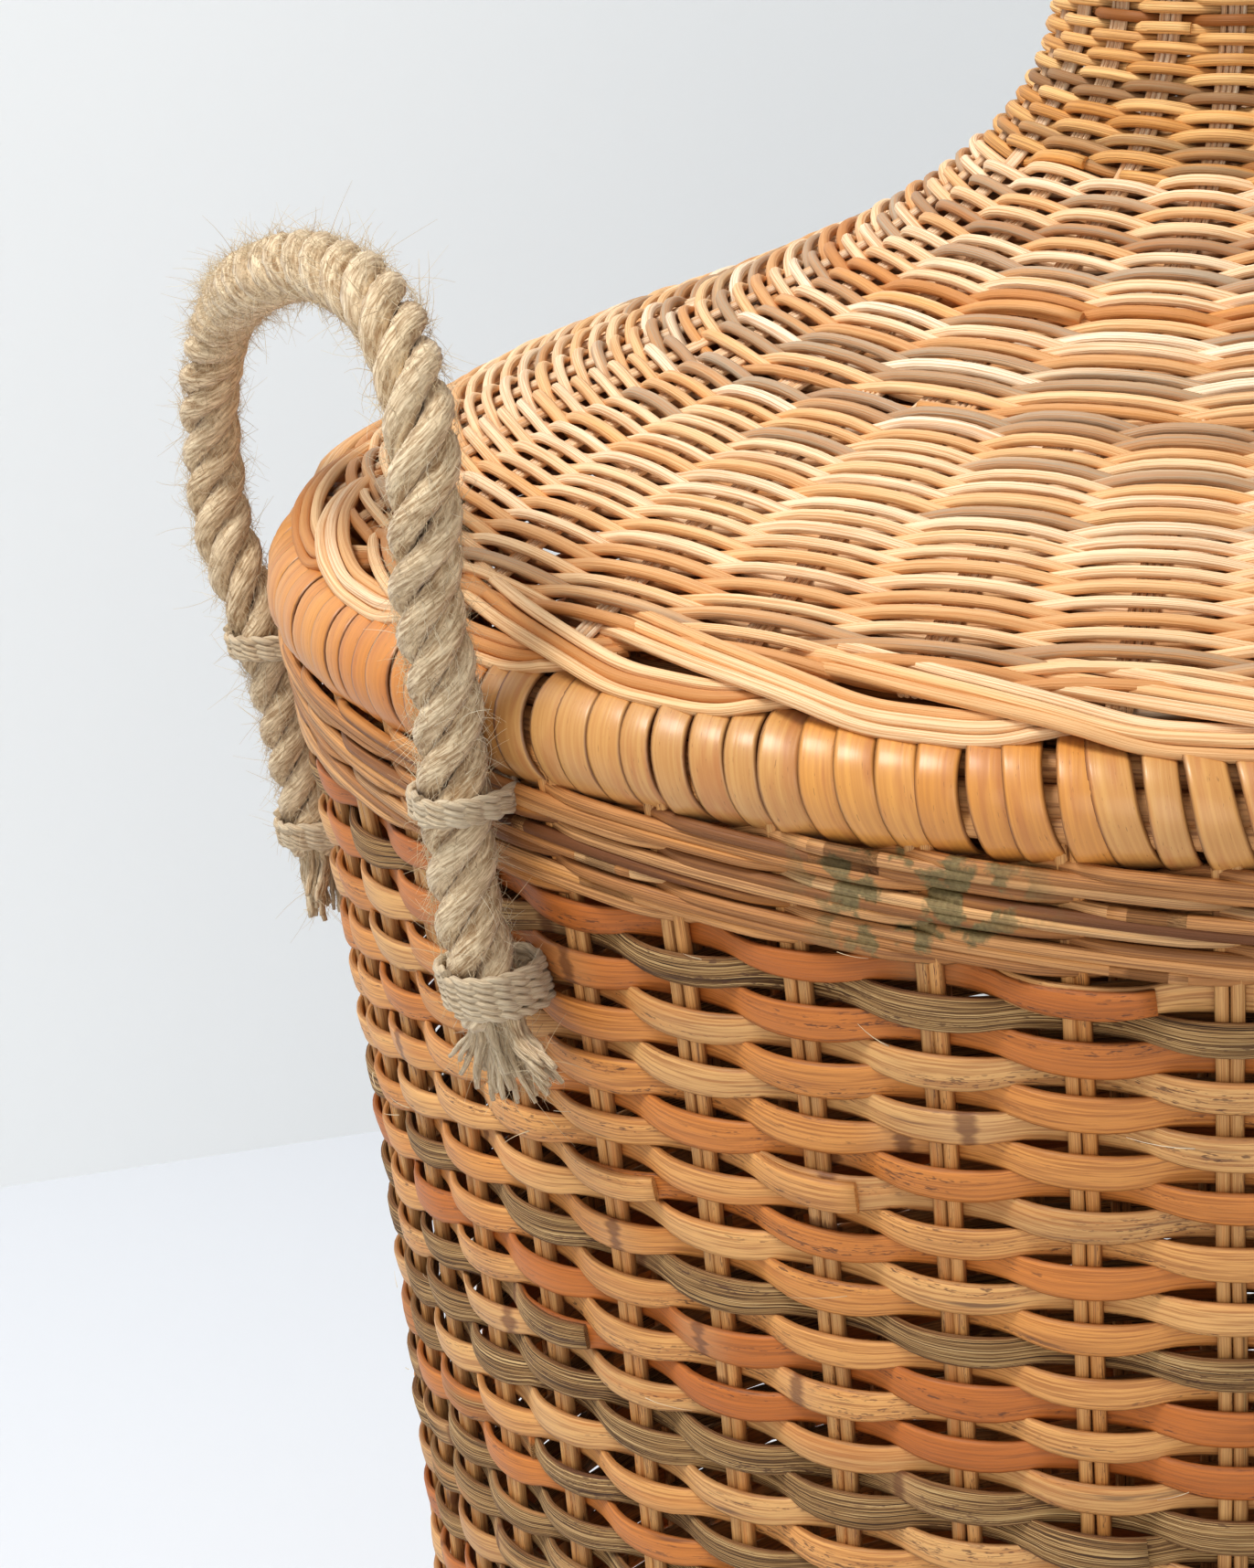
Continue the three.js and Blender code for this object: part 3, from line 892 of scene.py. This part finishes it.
def lay_rope(bundle, turn, rng):
    """Three strands laid round each other, each with its own twisted yarns."""
    total = lengths(rope_route)[-1]
    run = np.arange(0, total, 1.2)
    path = handle_points(at_lengths(rope_route, run), turn)
    along, side, up = rope_frame(path, turn)
    for k in range(3):
        angle = TURN * (k / 3 - run / ROPE_LAY) + wobble(rng, run, 0.12, 3, 120)
        spread = STRAND_SHIFT + wobble(rng, run, 0.15, 3, 60)
        direction = side * np.cos(angle)[:, None] + up * np.sin(angle)[:, None]
        strand = path + direction * spread[:, None]
        size = STRAND_RADIUS * (1 + wobble(rng, run, 0.05, 4, 40))
        look = draw_look(rng, (0.15, 0.45), 0)
        bundle.sweep(strand, direction, size, size, look, 28, lobes=(8, 0.13, 1 / 26))
    return path


def add_fuzz(bundle, path, radius, count, reach, rng):
    """Loose fibres that stand out of a rope or cord."""
    spot = rng.uniform(0, len(path) - 1.001, count)
    low = spot.astype(int)
    share = (spot - low)[:, None]
    root = path[low] * (1 - share) + path[low + 1] * share
    along = unit(path[low + 1] - path[low])
    around_rope = unit(np.cross(along, rng.normal(size=(count, 3))))
    root = root + around_rope * (radius * rng.uniform(0.8, 0.97, count))[:, None]
    length = (reach * rng.gamma(2.2, 0.4, count)).clip(1.2, reach * 3)
    flow = along * rng.choice([-1, 1], count)[:, None]
    outwards = around_rope * rng.uniform(0.15, 0.9, (count, 1))
    direction = unit(outwards + flow + 0.5 * rng.normal(size=(count, 3)))
    curl = unit(rng.normal(size=(count, 3))) * (length * rng.uniform(0.1, 0.6, count))[:, None]
    curl = curl - around_rope * (length * rng.uniform(0, 0.35, count))[:, None]
    thick = rng.uniform(0.045, 0.085, count)
    bundle.fibres(root, direction * length[:, None], curl, thick, rng.random(count), rng)


def add_lashing(bundle, route, share, width, turns, turn, rng):
    """Twine wound round a rope leg and through the wall behind it."""
    leg = smooth_route(route, 16)
    total = lengths(leg)[-1]
    middle = total * share
    angle = np.linspace(0, TURN * turns, int(turns * 40))
    where = middle + (angle / angle[-1] - 0.5) * (width - 2.4)
    place = handle_points(at_lengths(leg, np.clip(where, 0, total)), turn)
    extra = (where - np.clip(where, 0, total))[:, None]
    last, before = (handle_points(at_lengths(leg, [spot]), turn) for spot in (total, total - 2))
    flow = unit(last - before)
    place = place + flow * extra
    away = unit(place * [1, 1, 0])
    side = unit(np.cross(away, UP))
    inward = np.clip(-np.cos(angle), 0, 1)
    reach = ROPE_RADIUS + 0.9 + 5.5 * inward**2
    spread = 1 - 0.25 * inward**2
    path = place + away * (reach * np.cos(angle))[:, None]
    path = path + side * (reach * spread * np.sin(angle))[:, None]
    path = path + np.stack([0 * angle, 0 * angle, wobble(rng, angle, 0.35, 3, 9)], -1)
    outward = unit(path - place)
    for ply in range(2):
        turned = angle * 7 + ply * np.pi
        across = np.cross(unit(np.gradient(path, axis=0)), outward)
        shift = outward * np.cos(turned)[:, None] + across * np.sin(turned)[:, None]
        look = draw_look(rng, (0.4, 0.8), 0)
        bundle.sweep(path + 0.55 * shift, outward, 0.8, 0.8, look, 8)


def add_tassel(bundle, fibres, route, turn, rng):
    """The frayed end: wavy yarns that spread out below the last lashing."""
    leg = smooth_route(route, 16)
    end = handle_points(leg[-1:], turn)[0]
    before = handle_points(at_lengths(leg, [lengths(leg)[-1] - 4]), turn)[0]
    down = unit(end - before)
    away = unit(end * [1, 1, 0])
    side = unit(np.cross(away, down))
    for i in range(TASSEL_YARNS):
        across = rng.uniform(-1, 1)
        depth = rng.uniform(-1, 1) * math.sqrt(1 - across * across)
        length = rng.uniform(14, 22) * (1 - 0.15 * abs(across))
        share = np.linspace(0, 1, 12)
        turned = TASSEL_SPREAD * across * ease(share * 1.6) + wobble(rng, share, 0.12, 2, 0.8)
        step = length / 11
        out = ROPE_RADIUS * 0.85 * across + np.cumsum(np.sin(turned)) * step
        drop = np.cumsum(np.cos(turned)) * step - 3
        lift = ROPE_RADIUS * 0.6 * depth + 1.5 * ease(share) + wobble(rng, share, 0.4, 2, 0.9)
        path = end + down * drop[:, None] + side * out[:, None] + away * lift[:, None]
        size = rng.uniform(0.9, 1.4) * (1 - 0.45 * share**2)
        look = draw_look(rng, (0.1, 0.6), 0)
        bundle.sweep(path, away, size, size, look, 8, lobes=(3, 0.2, 0.12))
        add_fuzz(fibres, path, 0.9, 22, 4.5, rng)


# ---- putting it together


def fill_piece(name, fill, material, body, slot, nodes, *details):
    """Makes a piece of what fill puts into an empty bundle."""
    bundle = Bundle()
    fill(bundle, *details)
    make_piece(name, bundle, material, body, nodes)


def add_splinters(bundle, rng):
    """Fine splinters that have lifted off the wall."""
    count = SPLINTERS
    azimuth = rng.uniform(0, TURN, count)
    height = rng.uniform(40, RIM_HEIGHT - 18, count)
    root = around(azimuth, wall_radius(height) + 0.6, height)
    flow = around(azimuth + math.pi / 2, 1.0, 0) * rng.choice([-1, 1], count)[:, None]
    out = wall_outward(azimuth, height)
    length = rng.uniform(3, 14, count)[:, None]
    lifted = out * rng.uniform(0.1, 0.5, (count, 1))
    direction = unit(flow + lifted + UP * rng.normal(0, 0.35, (count, 1)))
    curl = -out * length * 0.2 + rng.normal(size=(count, 3)) * 0.6
    bundle.fibres(root, direction * length, curl, rng.uniform(0.08, 0.2, count), rng.random(count), rng)


def build_wall(splint, brown, mouldy, fibre):
    rng = np.random.default_rng(11)
    names = ["lower", "middle", "upper"]
    lowest = COURSE_JOINS[0] + SPLINT_WIDTH / 2
    for name, low, high in zip(names, [lowest, *COURSE_JOINS[1:3]], COURSE_JOINS[1:]):
        fill_piece(f"wall_weave_{name}", weave_wall, splint, "basket", "flat_splint",
                   [f"wall_course_{name}"], low, high, rng)
    fill_piece("wall_stakes", add_stakes, splint, "basket", "flat_splint", (), rng)
    upper = Bundle()
    for top in UPPER_BANDS:
        add_waling(upper, RIM_HEIGHT - top - UPPER_BAND, RIM_HEIGHT - top, 4, 4, rng)
    make_piece("upper_waling_rods", upper, mouldy, "basket", ["upper_waling"])
    fill_piece("lower_waling_rods", add_waling, brown, "basket", "round_core_brown", ["lower_waling"],
               BASE_TOP, COURSE_JOINS[0] + 1, 5, 5, rng)
    fill_piece("wall_splinters", add_splinters, fibre, "basket", "flat_splint", (), rng)


def build_rim_and_base(splint, brown, peel):
    rng = np.random.default_rng(23)
    fill_piece("rim_binding", bind_rim, peel, "basket", "peel_binding", ["rim_wrap"], rng)
    hoops = ["rim_hoop_outer", "rim_hoop_inner"]
    fill_piece("rim_packing", add_hoops, brown, "basket", "hoop_wood", hoops, rng)
    fill_piece("foot_plait", plait, brown, "basket", "round_core_brown", ["foot_border"],
               float(wall_radius(0)) - 6.5, 7.6, 4, 3.9, 3.6, 27, rng)
    fill_piece("base_spiral", add_base, splint, "basket", "flat_splint", ["base_weave"], rng)


def build_lid(pale, golden, brown):
    rng = np.random.default_rng(37)
    border_end = length_at_radius(230)
    change = length_at_radius(152)
    neck = length_at_radius(78)
    cap = lid_length - 52
    outer = Bundle()
    weave_lid(outer, border_end - 7, change, OUTER_COLUMNS, OUTER_AZIMUTH, rng)
    lid_spokes(outer, border_end - 9, change + 6, OUTER_COLUMNS, OUTER_AZIMUTH, rng)
    make_piece("lid_weave_outer", outer, pale, "lid", ["lid_crown_outer"])
    inner = Bundle()
    weave_lid(inner, change, neck, INNER_COLUMNS, INNER_AZIMUTH, rng)
    lid_spokes(inner, change - 6, cap + 4, INNER_COLUMNS, INNER_AZIMUTH, rng)
    make_piece("lid_weave_inner", inner, pale, "lid", ["lid_crown_inner"])
    # the neck and the knob top take the darker golden core, which is painted shade for the shaded neck
    fill_piece("lid_weave_neck", weave_lid, golden, "lid", "round_core_pale", ["lid_neck", "lid_knob_flare"],
               neck, cap, INNER_COLUMNS, INNER_AZIMUTH, rng, NECK_STEP, 2.2)
    top = Bundle()
    fade = (lid_length - 30, lid_length - 8)
    weave_lid(top, cap, lid_length - 3, 11, INNER_AZIMUTH, rng, NECK_STEP, 1.5, fade)
    lid_spokes(top, cap - 6, lid_length - 4, 11, INNER_AZIMUTH, rng)
    make_piece("lid_knob_top", top, golden, "lid", ["lid_knob_cap"])
    fill_piece("lid_border_scallops", add_lid_border, pale, "lid", "round_core_pale", ["lid_border"], rng)
    fill_piece("lid_collar_rods", add_lid_collar, brown, "lid", "round_core_brown", ["lid_collar"], rng)


def build_handle(side, turn, rope, twine, fibre):
    rng = np.random.default_rng(53 if turn > 0 else 59)
    strands = Bundle()
    path = lay_rope(strands, turn, rng)
    piece = make_piece(f"rope_{side}", strands, rope, None, [
        f"rope_loop_{side}", f"rope_leg_{side}_near", f"rope_leg_{side}_far"])
    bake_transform(piece)
    for part in range(3):
        fuzz = Bundle()
        add_fuzz(fuzz, path, ROPE_RADIUS - 0.3, FUZZ_FIBRES, 4.2, rng)
        hair = make_piece(f"rope_fuzz_{side}_{part}", fuzz, fibre, None)
        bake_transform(hair)
    for place, (route, lashings) in LASHINGS.items():
        cord = Bundle()
        for share, width, turns in lashings:
            add_lashing(cord, route, share, width, turns, turn, rng)
        make_piece(f"twine_{side}_{place}", cord, twine, "basket", [
            f"lashing_{side}_{place}_upper", f"lashing_{side}_{place}_lower"])
        tassel, loose = Bundle(), Bundle()
        add_tassel(tassel, loose, route, turn, rng)
        end = [f"frayed_end_{side}_{place}"]
        make_piece(f"tassel_{side}_{place}", tassel, rope, "basket", end)
        make_piece(f"tassel_fuzz_{side}_{place}", loose, fibre, "basket")


def quad_mesh(name, corners, material):
    mesh = bpy.data.meshes.new(name)
    mesh.from_pydata([Vector(corner) for corner in corners], [], [tuple(range(len(corners)))])
    made = bpy.data.objects.new(name, mesh)
    bpy.context.scene.collection.objects.link(made)
    mesh.materials.append(material)


def show_front_only(material):
    """Makes the back of a surface clear, so that views from behind the wall still see the basket."""
    tree = material.node_tree
    output = next(node for node in tree.nodes if node.type == "OUTPUT_MATERIAL")
    front = output.inputs["Surface"].links[0].from_socket
    side = tree.nodes.new("ShaderNodeNewGeometry")
    clear = tree.nodes.new("ShaderNodeBsdfTransparent")
    either = tree.nodes.new("ShaderNodeMixShader")
    tree.links.new(side.outputs["Backfacing"], either.inputs[0])
    tree.links.new(front, either.inputs[1])
    tree.links.new(clear.outputs[0], either.inputs[2])
    tree.links.new(either.outputs[0], output.inputs["Surface"])


def add_stage():
    """A white floor and a pale wall a metre behind."""
    floor = stage_material("stage_floor", rgb(230, 232, 236), 0.985)
    wall = stage_material("stage_wall", rgb(240, 242, 242), 0.985)
    quad_mesh("stage_floor", [(-4, -4, 0), (4, -4, 0), (4, 4, 0), (-4, 4, 0)], floor)
    left, right = (-3.0, 0.787, 0), (3.0, 1.117, 0)
    show_front_only(wall)
    quad_mesh("stage_wall", [left, right, (*right[:2], 3), (*left[:2], 3)], wall)


def add_lamp(name, place, aim, size, power, colour=(1, 1, 1)):
    light = bpy.data.lights.new(name, "AREA")
    light.shape = "DISK"
    light.size = size
    light.energy = power
    light.color = colour
    lamp = bpy.data.objects.new(name, light)
    lamp.location = place
    lamp.rotation_euler = (Vector(aim) - Vector(place)).to_track_quat("-Z", "Y").to_euler()
    bpy.context.scene.collection.objects.link(lamp)


def add_lights():
    world = bpy.data.worlds.new("studio")
    world.use_nodes = True
    back = world.node_tree.nodes["Background"]
    back.inputs["Color"].default_value = (0.93, 0.97, 1.0, 1)
    back.inputs["Strength"].default_value = 0.46
    bpy.context.scene.world = world
    middle = (0, 0, 0.4)
    add_lamp("key", (-1.1, -0.2, 2.3), middle, 0.8, 34, (1.0, 0.99, 0.98))
    add_lamp("fill", (-0.9, -2.4, 1.0), middle, 1.6, 15)


def add_camera():
    """A long lens above the rim, looking down a little and across to the right."""
    yaw, pitch, roll, turn = (math.radians(value) for value in (-9.34, 16.18, -2.12, -24.1))
    place = Vector((0, -1.0275, 0.2357))
    ahead = Vector((math.sin(yaw) * math.cos(pitch), math.cos(yaw) * math.cos(pitch), -math.sin(pitch)))
    level = Vector((math.cos(yaw), -math.sin(yaw), 0))
    above = level.cross(ahead)
    right = math.cos(roll) * level + math.sin(roll) * above
    up = -math.sin(roll) * level + math.cos(roll) * above
    spin = Matrix.Rotation(turn, 3, "Z")
    place = spin @ place + Vector((0, 0, RIM_HEIGHT * MM))
    axes = [spin @ axis for axis in (right, up, -ahead)]
    lens = bpy.data.cameras.new("camera")
    lens.lens = 98.5
    lens.sensor_width = 36
    lens.sensor_fit = "AUTO"
    lens.clip_start = 0.05
    camera = bpy.data.objects.new("camera", lens)
    bpy.context.scene.collection.objects.link(camera)
    rows = [[axis[i] for axis in axes] + [place[i]] for i in range(3)]
    camera.matrix_world = Matrix(rows + [[0, 0, 0, 1]])
    bpy.context.scene.camera = camera


def main():
    add_camera()
    add_stage()
    add_lights()
    splint = splint_material()
    tan = rgb(226, 182, 130), rgb(200, 142, 86)
    dusty = rgb(160, 134, 98)
    brown = core_material("brown_round_core", *tan, rgb(128, 80, 44), dusty)
    pale = core_material("pale_round_core", rgb(255, 234, 204), rgb(244, 202, 150), rgb(196, 132, 74),
                         rgb(166, 144, 120))
    mouldy = core_material("brown_core_with_mould", *tan, rgb(116, 72, 40), dusty, MOULD_PLACE)
    # a darker copy of the pale lid core: its darker tones are painted shade for the shaded neck, on a golden
    # hue, and it also dresses the knob top
    golden = core_material("shaded_golden_round_core", rgb(240, 196, 134), rgb(216, 158, 90), rgb(150, 96, 48),
                           rgb(150, 122, 90))
    peel = peel_material()
    rope = rope_material("jute_rope", rgb(248, 226, 190), rgb(150, 114, 74))
    twine = rope_material("jute_twine", rgb(242, 220, 184), rgb(158, 124, 86))
    fibre = fibre_material()
    build_wall(splint, brown, mouldy, fibre)
    build_rim_and_base(splint, brown, peel)
    build_lid(pale, golden, brown)
    build_handle("left", 1, rope, twine, fibre)
    build_handle("right", -1, rope, twine, fibre)
    settings = bpy.context.scene.view_settings
    settings.view_transform = "Standard"
    settings.look = "Medium High Contrast"
    settings.exposure = -0.1


main()
